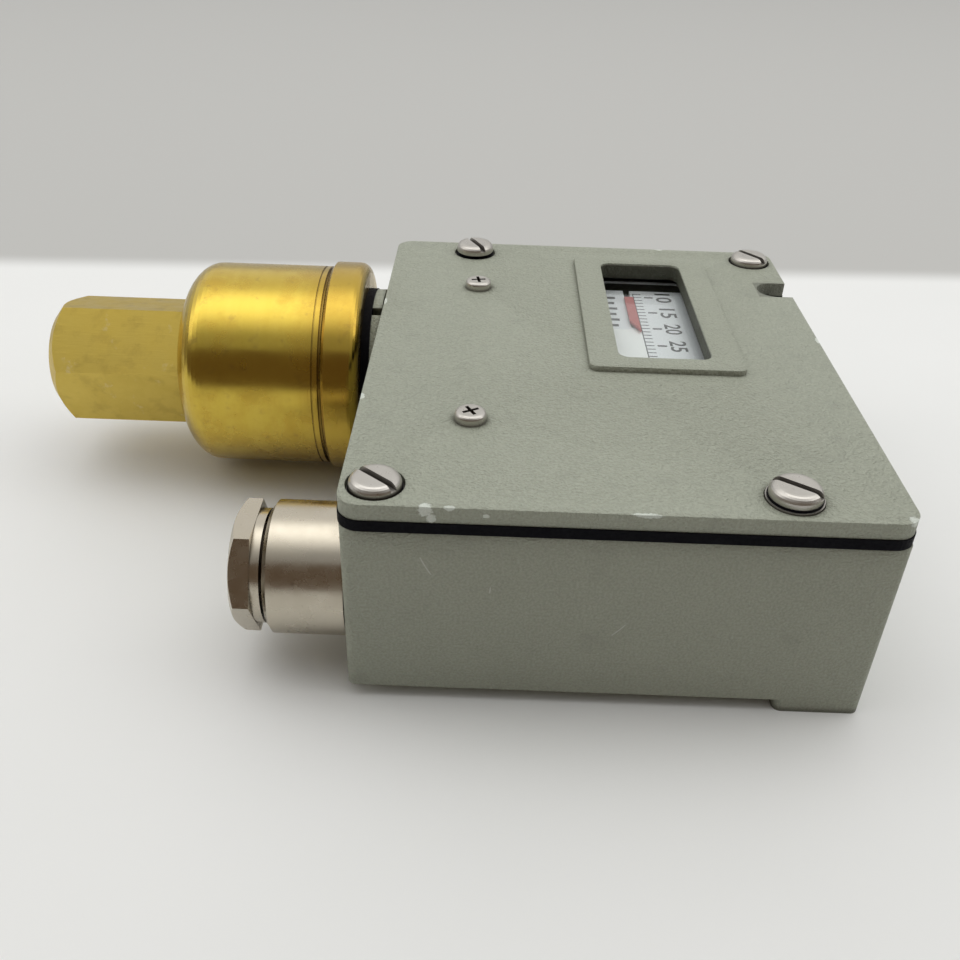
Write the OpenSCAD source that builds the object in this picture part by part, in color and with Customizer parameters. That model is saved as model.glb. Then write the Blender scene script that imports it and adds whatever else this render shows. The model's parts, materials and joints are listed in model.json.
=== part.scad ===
// Pressure switch: a die-cast case with a bellows sensor and a cable gland on its left side,
// a setting mechanism behind a window in the cover, and a microswitch with its terminals.
// The case lies on its back: +Z points out through the cover, +X away from the sensor.
// The origin is the middle of the rear fixing holes, on the plane of the rear feet.

/* [Case] */
// Width of the cover along X
cover_w = 97; // [96:0.5:99]
// Depth of the cover along Y
cover_d = 120; // [119:0.5:122]
// Thickness of the cover plate
cover_t = 3.2; // [2.8:0.1:3.4]
// Height of the cover gasket
gasket_t = 2.1; // [2:0.1:2.4]
// Height of the top of the case walls above the feet
wall_top = 39.5; // [39.3:0.1:39.7]
// Thickness of the case walls and floor
wall = 3; // [2.6:0.1:3.2]
// Height of the rear feet
foot_h = 3; // [2:0.5:3]

/* [Sensor] */
// Height of the sensor axis above the feet
sensor_z = 25.4; // [25.2:0.1:25.5]
// Radius of the sensor flange
flange_r = 25; // [24.6:0.1:25.1]
// Radius of the sensor can
can_r = 23.85; // [23.5:0.05:23.95]
// Width across the flats of the process connection
port_af = 27; // [26:0.5:27]
// Radius of the threaded port, at the thread's crests
port_thread_r = 9.32; // [8.6:0.01:9.4]

/* [Cable gland] */
// Radius of the gland body
gland_r = 12.7; // [12.2:0.1:12.8]
// Width across the flats of the pressure nut
gland_af = 22; // [21:0.5:22]
// Radius of the hole for the cable
cable_hole_r = 6.5; // [5.5:0.1:7]

/* [Mechanism] */
// Turns of the range spring
range_turns = 11; // [9:1:11]
// Number of poles of the terminal block
poles = 4; // [3:1:4]

/* [Hidden] */
$fn = 64;

// Colours
grey_green = [0.57, 0.58, 0.52];
rubber_black = [0.05, 0.05, 0.06];
brass = [0.72, 0.58, 0.22];
nickel = [0.72, 0.70, 0.66];
steel = [0.66, 0.67, 0.68];
plated = [0.78, 0.76, 0.66];
phenolic = [0.14, 0.13, 0.13];
white = [0.9, 0.91, 0.9];
red = [0.75, 0.12, 0.12];

// Case
case_w = cover_w - 0.5;
case_d = cover_d - 1;
corner_r = 1.6;
cover_corner_r = 3.9;
gasket_edge = 0.2;
floor_top = foot_h + wall;
cover_z = wall_top + gasket_t;
cover_top = cover_z + cover_t;
foot_x = 32;
pad_x = [-44, -28];
pad_y = [36, 54];
rear_hole_x = 36;
rear_hole_y = 45;
rear_hole_r = 1.65;

// Cover screws: two pairs, each point mirrored through the centre
screw_x = [42.4, 28.4];
screw_y = 53.6;
screw_spots = [[-screw_x[0], -screw_y], [screw_x[1], -screw_y],
    [-screw_x[1], screw_y], [screw_x[0], screw_y]];
screw_r = 2.05;
screw_hole_r = 2.1;
screw_boss_r = 5;
screw_boss_z = 30.5;
screw_head_r = 4.6;
screw_head_h = 2.1;
screw_dome = 1.5;
screw_recess_r = 5.15;
screw_recess_h = 1.4;
seal_ring_r = 4.75;
seal_ring_t = 0.4;
washer_r = 5;
washer_t = 0.5;
// How far each screw, and the washer under it, is backed off, and how its slot is turned
screw_lift = [0, 1.2, 1.1, 0.4];
washer_lift = [0, 1.2, 0.2, 0];
slot_turn = [-40, -34, -62, -50];

// Fixing channel on the right side
channel_y = 35.6;
channel_x = 44.9;
channel_r = 4.1;
channel_wall = 2.4;
fixing_hole_r = 2.25;

// Window
window_x = [3.2, 22.9];
window_y = [-5.6, 46.2];
bezel_x = [-3.1, 29.3];
bezel_y = [-10.2, 50.9];
bezel_h = 1.2;
bezel_r = 1.8;
pane_t = 1.2;
pane_z = cover_z - 1;
pane_gap = 0.2;
window_seal_t = 0.3;
pocket_lo = [window_x[0] - 4.2, window_y[0] - 3.9];
pocket_hi = [window_x[1] + 4.2, window_y[1] + 3.9];
pocket_top = pane_z + pane_t + window_seal_t;
retainer_lip = 0.6;
retainer_z = pane_z - retainer_lip;
retainer_rim = 3.4;
retainer_spots = [for (x = [pocket_lo[0] - 1.7, pocket_hi[0] + 1.7],
    y = [pocket_lo[1] - 1.7, pocket_hi[1] + 1.7]) [x, y]];

// Shield and its two screws
shield_x = [-43, -9];
shield_y = [-44, 44];
shield_t = 1.6;
shield_screw_x = -27;
shield_screw_y = 31.2;
m3_r = 1.45;

// Sensor, along the X axis at (sensor_y, sensor_z)
sensor_y = 25.2;
flange_x = [-62.1, -53];
boss_x = -51.2;
boss_r = 18.8;
boss_gap = 0.7;
slit_w = 2.3;
can_groove_x = -63.5;
dome_x = -95.8;
dome_flat_r = 13.2;
dome_bend_x = -88.2;
port_x = -127.2;
port_turn = 16.5;
port_thread_l = 16;
neck_r = 11;
neck_end = -37.5;
bush_r = 5;
rod_r = 2.98;
rod_bore_r = 3.03;
rod_tip = -34;
head_x = [-91.5, -88];
bellows_x = [-91, -64.4];
bellows_r = [12.45, 17];
bellows_wall = 0.4;
folds = 8;

// Mechanism frame
frame_z = 8;
frame_t = 1.5;
frame_top = frame_z + frame_t;
frame_x = [-36, 32];
frame_y = [-42.5, 50.5];
frame_spots = [[-32, -38], [28, -38], [-32, 46], [28, 46]];
m4_r = 1.6;
m4_tap_r = 1.65;

// Lever, turning about Z
pivot = [-29, 6];
pin_r = 2;
lever_z = 22.5;
lever_t = 5;
hub_z = 21;
hub_h = 8;
plunger_y = -22;

// Range spring, nut and spindle, along the Y axis at (spindle_x, spindle_z)
spindle_x = 10.5;
spindle_z = 25;
spindle_r = 2.95;
spindle_bore_r = 3;
journal_r = 2.2;
lug_y = [48, 50];
nut_y = [36, 42];
spring_hub_r = 4.8;
spring_r = 5.95;
spring_wire_r = 0.85;
spring_y = [-3.2, 35.8];
wheel_y = [50.4, 54.4];
wheel_r = 8;

// Scale
scale_z = 38;
scale_t = 0.9;
scale_x = [-5, 31];
scale_y = [-22, 45.8];
scale_spots = [[-1.5, -17], [27.5, -17], [-1.5, 38.5], [27.5, 38.5]];
slot_y = 24;
pointer_w = 2.2;
pointer_tip = 20.6;
pointer_slant = 5;
pointer_tail = 39.8;

// Differential, along the Y axis at (diff_x, spindle_z)
diff_x = 5;
diff_r = 2;
diff_lug_y = [-34, -32];
diff_wheel_y = [-31.5, -27];
diff_nut_y = [-23, -20];
diff_spring_y = [-19.9, -12];

// Microswitch
switch_x = [-22, -6];
switch_y = [-42, -14];
switch_z = [19.8, 30.1];
switch_hole_x = -10;
switch_hole_y = [-39.1, -16.9];
tab_y = [-38, -31, -24];

// Terminal block
block_x = -8;
pole_pitch = 8;
block_y = [-56, -43.2];
block_z = [8, 26];
clamp_y = (block_y[0] + block_y[1]) / 2;
entry_z = 14;
earth_spot = [-20, -49.5];

// Gland, along the X axis at (gland_y, gland_z)
gland_y = -45;
gland_z = 19.1;
gland_x = [-63.3, -48.5];
gland_thread_r = 9.6;
gland_bore_r = 9.15;
gland_chamber = -50.5;
gland_nut_x = [-69.6, -65.7];
gland_collar_x = -64;
gland_collar_r = 10.9;
ring_bore_r = 5.8;

// ---- Helpers ----

// Points of a quarter turn of radius r about c, starting at angle a
function arc(c, r, a, steps = 8) =
    [for (i = [0 : steps]) c + r * [cos(a + 90 * i / steps), sin(a + 90 * i / steps)]];

// Outline of a rounded rectangle from corner lo to corner hi
function round_rect(lo, hi, r) = concat(
    arc([hi[0] - r, hi[1] - r], r, 0), arc([lo[0] + r, hi[1] - r], r, 90),
    arc([lo[0] + r, lo[1] + r], r, 180), arc([hi[0] - r, lo[1] + r], r, 270));

module round_block(lo, hi, r, z, h) {
    translate([0, 0, z]) linear_extrude(h) polygon(round_rect(lo, hi, r));
}

module block(lo, hi) {
    translate(lo) cube(hi - lo);
}

// Things along the X axis at (y, z): the child's +Z turns to +X
module along_x(x, y, z) {
    translate([x, y, z]) rotate([0, 90, 0]) children();
}

// Things along the Y axis at (x, z): the child's +Z turns to +Y
module along_y(x, y, z) {
    translate([x, y, z]) rotate([-90, 0, 0]) children();
}

module ring(r_out, r_in, h) {
    difference() {
        cylinder(r = r_out, h = h);
        translate([0, 0, -1]) cylinder(r = r_in, h = h + 2);
    }
}

module hexagon(af, h) {
    cylinder(r = af / sqrt(3), h = h, $fn = 6);
}

// A hexagon turned off to radius rim at its top end;
// the slope is how far the cut runs back for each unit of radius
module turned_hexagon(af, h, rim, slope) {
    wide = af / sqrt(3) + 1;
    intersection() {
        hexagon(af, h);
        rotate_extrude() polygon([[0, -1], [wide, -1], [wide, h - (wide - rim) * slope], [rim, h],
            [0, h]]);
    }
}

// The solid of a pan head standing on z = 0, its edge rounded by dome
module pan_blank(r, h, dome) {
    rotate_extrude() polygon(concat([[0, 0], [r, 0], [r, h - dome]],
        [for (a = [15 : 15 : 75]) [r - dome + dome * cos(a), h - dome + dome * sin(a)]],
        [[r - dome, h], [0, h]]));
}

// A slotted pan head
module pan_head(r, h, slot_w, turn, dome) {
    difference() {
        pan_blank(r, h, dome);
        rotate([0, 0, turn]) translate([-r - 1, -slot_w / 2, 0.42 * h]) cube([2 * r + 2, slot_w, h]);
    }
}

// A pan-head screw: the head stands on z = 0 and the shank hangs below it
module pan_screw(head_r, head_h, shank_r, shank_l, slot_w, turn, dome) {
    pan_head(head_r, head_h, slot_w, turn, dome);
    translate([0, 0, -shank_l]) cylinder(r = shank_r, h = shank_l + 0.1, $fn = 32);
}

// A cross-head screw: the recess is two crossed slots in a domed head
module cross_screw(head_r, head_h, shank_r, shank_l, turn = 0) {
    difference() {
        pan_blank(head_r, head_h, 0.5 * head_h);
        for (a = [0, 90]) rotate([0, 0, a + turn])
            translate([-0.55 * head_r, -0.35, 0.4 * head_h]) cube([1.1 * head_r, 0.7, head_h]);
    }
    translate([0, 0, -shank_l]) cylinder(r = shank_r, h = shank_l + 0.1, $fn = 32);
}

function cross3(a, b) = [a[1] * b[2] - a[2] * b[1], a[2] * b[0] - a[0] * b[2],
    a[0] * b[1] - a[1] * b[0]];
function unit(v) = v / norm(v);

// A point on the smooth curve through four points
function spline_point(p, t) = 0.5 * (2 * p[1] + (p[2] - p[0]) * t
    + (2 * p[0] - 5 * p[1] + 4 * p[2] - p[3]) * t * t
    + (3 * p[1] - p[0] - 3 * p[2] + p[3]) * t * t * t);

function smooth(pts, steps) = let (n = len(pts)) concat(
    [for (i = [0 : n - 2], s = [0 : steps - 1])
        spline_point([pts[max(i - 1, 0)], pts[i], pts[i + 1], pts[min(i + 2, n - 1)]], s / steps)],
    [pts[n - 1]]);

// A round wire swept along a path; the side vector never lies along the path
module wire(path, r, side = [0, 0, 1], sides = 8) {
    n = len(path);
    rings = [for (i = [0 : n - 1])
        let (along = unit(path[min(i + 1, n - 1)] - path[max(i - 1, 0)]),
            u = unit(cross3(side, along)),
            v = cross3(along, u))
        for (k = [0 : sides - 1])
            path[i] + r * (cos(360 * k / sides) * u + sin(360 * k / sides) * v)];
    walls = [for (i = [0 : n - 2], k = [0 : sides - 1])
        let (a = i * sides + k, b = i * sides + (k + 1) % sides)
        each [[a, b, b + sides], [a, b + sides, a + sides]]];
    start_cap = [[for (k = [sides - 1 : -1 : 0]) k]];
    end_cap = [[for (k = [0 : sides - 1]) (n - 1) * sides + k]];
    polyhedron(points = rings, faces = concat(walls, start_cap, end_cap));
}

// The path of a coil of radius r about the Z axis, its end turns lying flat
function coil(r, h, turns, wire_r, steps = 14) = let (n = turns * steps) [for (i = [0 : n])
    let (a = 360 * i / steps, t = i / n,
        rise = turns < 3 ? t : (t * turns < 1 ? 0.25 * t : (t * turns > turns - 1
            ? 1 - 0.25 * (1 - t) : (0.25 / turns) + (1 - 0.5 / turns) * (t * turns - 1) / (turns - 2))))
    [r * cos(a), r * sin(a), wire_r + (h - 2 * wire_r) * rise]];

// ---- Case ----

module housing() {
    color(grey_green) difference() {
        union() {
            difference() {
                round_block([-case_w / 2, -case_d / 2], [case_w / 2, case_d / 2], corner_r,
                    foot_h, wall_top - foot_h);
                round_block([wall - case_w / 2, wall - case_d / 2],
                    [case_w / 2 - wall, case_d / 2 - wall], 1.5, floor_top, 50);
            }
            // Feet: a strip below the right side and two pads on the left
            round_block([foot_x, -case_d / 2], [case_w / 2, case_d / 2], corner_r, 0, foot_h + 1);
            for (s = [-1, 1])
                round_block([pad_x[0], s > 0 ? pad_y[0] : -pad_y[1]],
                    [pad_x[1], s > 0 ? pad_y[1] : -pad_y[0]], 1.5, 0, foot_h + 1);
            // Bosses for the cover screws
            for (p = screw_spots) intersection() {
                translate([p[0], p[1], screw_boss_z])
                    cylinder(r = screw_boss_r, h = wall_top - screw_boss_z);
                block([1 - case_w / 2, 1 - case_d / 2, 0],
                    [case_w / 2 - 1, case_d / 2 - 1, wall_top]);
            }
            // Wall round the fixing channel
            intersection() {
                translate([channel_x, channel_y, floor_top - 1])
                    cylinder(r = channel_r + channel_wall, h = wall_top - floor_top + 1);
                block([0, 0, 0], [case_w / 2 - 0.5, case_d / 2, wall_top]);
            }
            // Round boss outside the sensor hole, standing clear of the gasket above the wall
            along_x(boss_x, sensor_y, sensor_z)
                cylinder(r = boss_r, h = -boss_x - case_w / 2 - boss_gap);
            intersection() {
                along_x(boss_x + 1, sensor_y, sensor_z)
                    cylinder(r = boss_r, h = -boss_x - case_w / 2);
                block([-60, -case_d / 2, 0], [0, case_d / 2, wall_top]);
            }
            // Threaded boss inside the gland hole
            intersection() {
                along_x(1 - case_w / 2, gland_y, gland_z) cylinder(r = gland_r, h = 6);
                block([-60, 1 - case_d / 2, floor_top - 1], [0, 0, wall_top]);
            }
            // Pads under the frame screws, the terminal block and the earth screw
            for (p = frame_spots) translate([p[0], p[1], floor_top - 1])
                cylinder(r = 5, h = frame_z - floor_top + 1);
            block([block_x, block_y[0], floor_top - 1],
                [block_x + poles * pole_pitch, block_y[1], block_z[0]]);
            translate([earth_spot[0], earth_spot[1], floor_top - 1]) cylinder(r = 5, h = 5);
        }
        // Fixing channel, open to the right, and the hole below it
        translate([channel_x, channel_y, floor_top]) cylinder(r = channel_r, h = 50);
        block([channel_x, channel_y - channel_r, floor_top],
            [channel_x + 20, channel_y + channel_r, 60]);
        translate([channel_x - 1.2, channel_y, -1]) cylinder(r = fixing_hole_r, h = 20, $fn = 48);
        // Threaded holes for the cover, frame, earth and rear fixing screws
        for (p = screw_spots) translate([p[0], p[1], screw_boss_z - 1])
            cylinder(r = screw_hole_r, h = 20, $fn = 32);
        for (p = frame_spots) translate([p[0], p[1], foot_h + 1])
            cylinder(r = m4_tap_r, h = 10, $fn = 32);
        translate([earth_spot[0], earth_spot[1], foot_h + 1])
            cylinder(r = m4_tap_r, h = 10, $fn = 32);
        for (sx = [-1, 1], sy = [-1, 1])
            translate([sx * rear_hole_x, sy * rear_hole_y, -1])
                cylinder(r = rear_hole_r, h = 6, $fn = 32);
        block_spots() translate([0, 0, foot_h + 1]) cylinder(r = 1.25, h = 10, $fn = 32);
        // Sensor hole, the slit in its boss, and the gland hole
        along_x(-60, sensor_y, sensor_z) cylinder(r = neck_r + 0.05, h = 30);
        translate([boss_x - 1, sensor_y, sensor_z]) rotate([20, 0, 0])
            translate([0, -slit_w / 2, boss_r - 4.5]) cube([3.5, slit_w, 10]);
        along_x(-60, gland_y, gland_z) cylinder(r = gland_thread_r + 0.05, h = 30);
    }
}

module cover() {
    color(grey_green) difference() {
        union() {
            round_block([-cover_w / 2, -cover_d / 2], [cover_w / 2, cover_d / 2], cover_corner_r,
                cover_z, cover_t);
            round_block([bezel_x[0], bezel_y[0]], [bezel_x[1], bezel_y[1]], bezel_r,
                cover_top - 1, bezel_h + 1);
        }
        round_block([window_x[0], window_y[0]], [window_x[1], window_y[1]], 2.4, 0, 60);
        round_block(pocket_lo, pocket_hi, 1.5, 0, pocket_top);
        for (p = screw_spots) translate([p[0], p[1], 0]) {
            cylinder(r = 2.8, h = 60, $fn = 48);
            translate([0, 0, cover_top - screw_recess_h]) cylinder(r = screw_recess_r, h = 10);
        }
        for (s = [-1, 1]) translate([shield_screw_x, s * shield_screw_y, 0])
            cylinder(r = m3_r + 0.1, h = 60, $fn = 32);
        for (p = retainer_spots) translate([p[0], p[1], 0])
            cylinder(r = 0.85, h = cover_z + 2.6, $fn = 24);
        translate([channel_x, channel_y, 0]) cylinder(r = channel_r, h = 60);
        block([channel_x, channel_y - channel_r, 0], [channel_x + 20, channel_y + channel_r, 60]);
    }
}

module cover_gasket() {
    color(rubber_black) translate([0, 0, wall_top]) linear_extrude(gasket_t) difference() {
        union() {
            difference() {
                polygon(round_rect([-cover_w / 2 - gasket_edge, -cover_d / 2 - gasket_edge],
                    [cover_w / 2 + gasket_edge, cover_d / 2 + gasket_edge],
                    cover_corner_r + gasket_edge));
                polygon(round_rect([0.8 + wall - case_w / 2, 0.8 + wall - case_d / 2],
                    [case_w / 2 - wall - 0.8, case_d / 2 - wall - 0.8], 1.5));
            }
            for (p = screw_spots) intersection() {
                translate(p) circle(r = screw_boss_r);
                square([case_w - 1, case_d - 1], center = true);
            }
            intersection() {
                translate([channel_x, channel_y]) circle(r = channel_r + channel_wall);
                square([case_w, case_d], center = true);
            }
        }
        translate([channel_x, channel_y]) circle(r = channel_r + 0.3);
        translate([channel_x, channel_y - channel_r - 0.3]) square([20, 2 * channel_r + 0.6]);
        for (p = screw_spots) translate(p) circle(r = 2.8, $fn = 32);
    }
}

// A place on top of the washer or the seal in each screw's recess
module screw_place(i, z) {
    translate([screw_spots[i][0], screw_spots[i][1], cover_top - screw_recess_h + z]) children();
}

module cover_screws() {
    color(nickel) for (i = [0 : 3]) screw_place(i, washer_t + seal_ring_t + screw_lift[i])
        pan_screw(screw_head_r, screw_head_h, screw_r, 12.5, 1.3, slot_turn[i], screw_dome);
}

module cover_screw_washers() {
    color(nickel) for (i = [0 : 3]) screw_place(i, washer_lift[i]) ring(washer_r, 2.6, washer_t);
}

module cover_screw_seals() {
    color(rubber_black) for (i = [0 : 3]) screw_place(i, washer_t + washer_lift[i])
        ring(seal_ring_r, 2.5, seal_ring_t);
}

module window_pane() {
    color([0.8, 0.85, 0.85, 0.35]) round_block(pocket_lo + [pane_gap, pane_gap],
        pocket_hi - [pane_gap, pane_gap], 1.4, pane_z, pane_t);
}

module window_seal() {
    color(rubber_black) difference() {
        round_block(pocket_lo + [pane_gap, pane_gap], pocket_hi - [pane_gap, pane_gap], 1.4,
            pane_z + pane_t, window_seal_t);
        round_block([window_x[0] - 0.4, window_y[0] - 0.4], [window_x[1] + 0.4, window_y[1] + 0.4],
            2.4, 0, 60);
    }
}

// A frame screwed under the cover, with a lip that holds the pane up
module window_retainer() {
    color(steel) difference() {
        round_block(pocket_lo - [retainer_rim, retainer_rim],
            pocket_hi + [retainer_rim, retainer_rim], 2, retainer_z, cover_z - retainer_z);
        round_block(pocket_lo, pocket_hi, 1.5, pane_z, 10);
        round_block([window_x[0] - 1.5, window_y[0] - 1.5], [window_x[1] + 1.5, window_y[1] + 1.5],
            2, 0, 60);
        for (p = retainer_spots) translate([p[0], p[1], 0]) cylinder(r = 1, h = 60, $fn = 24);
    }
}

module retainer_screws() {
    color(steel) for (p = retainer_spots) translate([p[0], p[1], retainer_z])
        mirror([0, 0, 1]) pan_screw(1.5, 0.8, 0.8, 3.4, 0.4, 45, 0.36);
}

module insulating_shield() {
    color(phenolic) difference() {
        round_block([shield_x[0], shield_y[0]], [shield_x[1], shield_y[1]], 3,
            cover_z - shield_t, shield_t);
        for (s = [-1, 1]) translate([shield_screw_x, s * shield_screw_y, 0])
            cylinder(r = m3_r + 0.15, h = 60, $fn = 32);
    }
}

module shield_screws() {
    color(nickel) for (s = [-1, 1]) translate([shield_screw_x, s * shield_screw_y, cover_top])
        cross_screw(3.05, 1.9, m3_r, 8, s > 0 ? 10 : 30);
}

module shield_nuts() {
    color(steel) for (s = [-1, 1])
        translate([shield_screw_x, s * shield_screw_y, cover_z - shield_t - 2.4]) difference() {
            hexagon(5.5, 2.4);
            translate([0, 0, -1]) cylinder(r = m3_r + 0.03, h = 6, $fn = 32);
        }
}

// ---- Sensor ----

module sensor_port() {
    hex_l = dome_x - port_x;
    color(brass) along_x(port_x, sensor_y, sensor_z) difference() {
        union() {
            translate([0, 0, hex_l]) mirror([0, 0, 1]) rotate([0, 0, port_turn])
                turned_hexagon(port_af, hex_l, 11.5, 0.78);
            cylinder(r = 8, h = hex_l + 3);
            translate([0, 0, hex_l + 1.6]) cylinder(r = 11, h = 2);
        }
        translate([0, 0, -1]) cylinder(r = port_thread_r, h = port_thread_l + 1);
        translate([0, 0, -0.01]) cylinder(r1 = port_thread_r + 1.2, r2 = port_thread_r, h = 1.2);
        cylinder(r = 2.5, h = hex_l + 10, $fn = 32);
    }
}

// Profile of the can's domed end, from the flat face to the straight side
function dome(r, bend) = [for (i = [0 : 12]) let (a = 90 * i / 12)
    [r - bend[0] + bend[0] * cos(a), dome_bend_x - bend[1] * sin(a)]];

module sensor_can() {
    shell = 1.3;
    outer = dome(can_r, [can_r - dome_flat_r, dome_bend_x - dome_x]);
    inner = dome(can_r - shell, [can_r - dome_flat_r, dome_bend_x - dome_x - shell]);
    n = len(inner);
    groove = [[can_r, can_groove_x + 0.4], [can_r - 0.3, can_groove_x + 0.4],
        [can_r - 0.3, can_groove_x], [can_r, can_groove_x]];
    color(brass) along_x(0, sensor_y, sensor_z) rotate_extrude($fn = 96) polygon(concat(
        [[can_r, flange_x[0]]], groove, outer, [[8.05, dome_x], [8.05, dome_x + shell]],
        [for (i = [n - 1 : -1 : 0]) inner[i]], [[can_r - shell, flange_x[0]]]));
}

module sensor_base() {
    rim = 2.4;
    slot_d = 0.8;
    slot_x = flange_x[0] + 0.6;
    left = flange_x[0];
    right = flange_x[1];
    spigot = bellows_x[1];
    color(brass) along_x(0, sensor_y, sensor_z) rotate_extrude($fn = 96) polygon(concat(
        [[can_r - slot_d, slot_x], [can_r, slot_x], [flange_r, slot_x + 0.9]],
        [for (i = [0 : 6]) [flange_r - rim + rim * cos(15 * i), right - rim + rim * sin(15 * i)]],
        [[neck_r, right], [neck_r, neck_end], [bush_r + 0.02, neck_end],
            [bush_r + 0.02, spigot - 2], [bellows_r[0] - 0.05, spigot - 2],
            [bellows_r[0] - 0.05, spigot], [can_r - 1.35, spigot],
            [can_r - 1.35, left], [can_r - slot_d, left]]));
}

module sensor_seal() {
    color(rubber_black) along_x(flange_x[1], sensor_y, sensor_z)
        ring(boss_r + 0.2, neck_r + 0.2, boss_x - flange_x[1]);
}

module sensor_lock_nut() {
    color(brass) along_x(wall - case_w / 2, sensor_y, sensor_z) difference() {
        rotate([0, 0, 30]) hexagon(26, 4.5);
        translate([0, 0, -1]) cylinder(r = neck_r + 0.04, h = 10);
    }
}

module rod_bush() {
    color(brass) along_x(-52, sensor_y, sensor_z) ring(bush_r, rod_bore_r, 13.5);
}

module bellows() {
    l = bellows_x[1] - bellows_x[0];
    pitch = (l - 4) / folds;
    outer = concat([[bellows_r[0] + bellows_wall, 0], [bellows_r[0] + bellows_wall, 2]],
        [for (i = [0 : folds - 1]) each [[bellows_r[1], 2 + pitch * (i + 0.35)],
            [bellows_r[1], 2 + pitch * (i + 0.65)],
            [bellows_r[0] + bellows_wall, 2 + pitch * (i + 1)]]],
        [[bellows_r[0] + bellows_wall, l]]);
    inner = [for (p = outer) [p[0] - bellows_wall, p[1]]];
    n = len(inner);
    color(brass) along_x(bellows_x[0], sensor_y, sensor_z) rotate_extrude()
        polygon(concat(outer, [for (i = [n - 1 : -1 : 0]) inner[i]]));
}

module bellows_head() {
    color(brass) along_x(head_x[0], sensor_y, sensor_z) difference() {
        union() {
            cylinder(r = bellows_r[0] - 0.05, h = head_x[1] - head_x[0]);
            cylinder(r = bush_r, h = 8);
        }
        translate([0, 0, 2]) cylinder(r = rod_r + 0.02, h = 10);
    }
}

module thrust_rod() {
    color(steel) along_x(head_x[0] + 2, sensor_y, sensor_z)
        cylinder(r = rod_r, h = rod_tip - head_x[0] - 2);
}

// ---- Mechanism ----

module mechanism_frame() {
    color(plated) difference() {
        union() {
            round_block([frame_x[0], frame_y[0]], [frame_x[1], frame_y[1]], 3, frame_z, frame_t);
            // Rear lug for the spindle, front lug for the differential knob
            block([spindle_x - 8, lug_y[0], frame_z], [spindle_x + 8, lug_y[1], spindle_z + 6]);
            block([diff_x - 4.5, diff_lug_y[0], frame_z],
                [diff_x + 4.5, diff_lug_y[1], spindle_z + 5]);
            translate([pivot[0], pivot[1], frame_z]) cylinder(r = 4.5, h = hub_z - frame_z - 0.1);
            for (y = switch_hole_y) translate([switch_hole_x, y, frame_z])
                cylinder(r = 3, h = switch_z[0] - frame_z, $fn = 32);
        }
        for (p = frame_spots) translate([p[0], p[1], 0]) cylinder(r = 2.2, h = 20, $fn = 32);
        for (p = scale_spots) translate([p[0], p[1], 0]) cylinder(r = 1.55, h = 20, $fn = 32);
        for (y = switch_hole_y) translate([switch_hole_x, y, frame_z - 1])
            cylinder(r = m3_r + 0.05, h = 30, $fn = 32);
        translate([pivot[0], pivot[1], 0]) cylinder(r = pin_r + 0.01, h = 40, $fn = 48);
        along_y(spindle_x, 40, spindle_z) cylinder(r = journal_r + 0.05, h = 20, $fn = 48);
        along_y(diff_x, -40, spindle_z) cylinder(r = diff_r + 0.05, h = 12, $fn = 48);
        // Lightening hole below the range spring
        round_block([spindle_x - 8, -8], [spindle_x + 8, 40], 4, 0, 20);
    }
}

module frame_screws() {
    color(steel) for (p = frame_spots) translate([p[0], p[1], frame_top])
        cross_screw(3.6, 2.4, m4_r, 5, 20);
}

module lever() {
    color(steel) difference() {
        union() {
            translate([pivot[0], pivot[1], hub_z]) cylinder(r = 5.5, h = hub_h);
            // Arm in front of the thrust rod
            block([rod_tip + 0.15, pivot[1], lever_z], [-28.5, sensor_y + 4, lever_z + lever_t]);
            // Arm in front of the microswitch's plunger
            block([-31, plunger_y - 4, lever_z], [-24.4, pivot[1], lever_z + lever_t]);
            // Long arm to the range spring
            translate([0, 0, lever_z]) linear_extrude(lever_t) polygon([[-27, 10], [-13, -4],
                [spindle_x + 5.5, -4], [spindle_x + 5.5, -10], [-17, -10], [-30, 2]]);
            along_y(spindle_x, -4.5, spindle_z) cylinder(r = spring_hub_r, h = 5, $fn = 48);
        }
        translate([pivot[0], pivot[1], 0]) cylinder(r = pin_r + 0.05, h = 50, $fn = 48);
    }
}

module lever_pin() {
    color(steel) translate([pivot[0], pivot[1], frame_z])
        cylinder(r = pin_r, h = hub_z + hub_h + 2.5 - frame_z, $fn = 48);
}

module lever_clip() {
    color(steel) translate([pivot[0], pivot[1], hub_z + hub_h + 0.2]) difference() {
        ring(4, pin_r + 0.01, 0.8);
        translate([0, -1, -1]) cube([10, 2, 4]);
    }
}

module range_spring() {
    color(steel) along_y(spindle_x, spring_y[0], spindle_z)
        wire(coil(spring_r, spring_y[1] - spring_y[0], range_turns, spring_wire_r), spring_wire_r,
            sides = 7);
}

module spring_nut() {
    color(brass) difference() {
        union() {
            block([spindle_x - 6.5, nut_y[0], spindle_z - 6.5],
                [spindle_x + 6.5, nut_y[1], spindle_z + 6.5]);
            along_y(spindle_x, nut_y[0] - 5, spindle_z) cylinder(r = spring_hub_r, h = 6, $fn = 48);
        }
        along_y(spindle_x, nut_y[0] - 10, spindle_z) cylinder(r = spindle_bore_r, h = 30, $fn = 48);
    }
}

module pointer() {
    top = scale_z + scale_t;
    color(red) {
        // Riser through the scale's slot
        block([spindle_x - 0.5, nut_y[0] + 1, spindle_z + 6.5],
            [spindle_x + 0.5, pointer_tail - 0.2, top + 0.5]);
        // Bar above the scale, cut to a slanting point
        translate([0, 0, top + 0.4]) linear_extrude(0.6) polygon([
            [spindle_x - pointer_w / 2, pointer_tail],
            [spindle_x - pointer_w / 2, pointer_tip + pointer_slant],
            [spindle_x + pointer_w / 2, pointer_tip], [spindle_x + pointer_w / 2, pointer_tail]]);
    }
}

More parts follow.
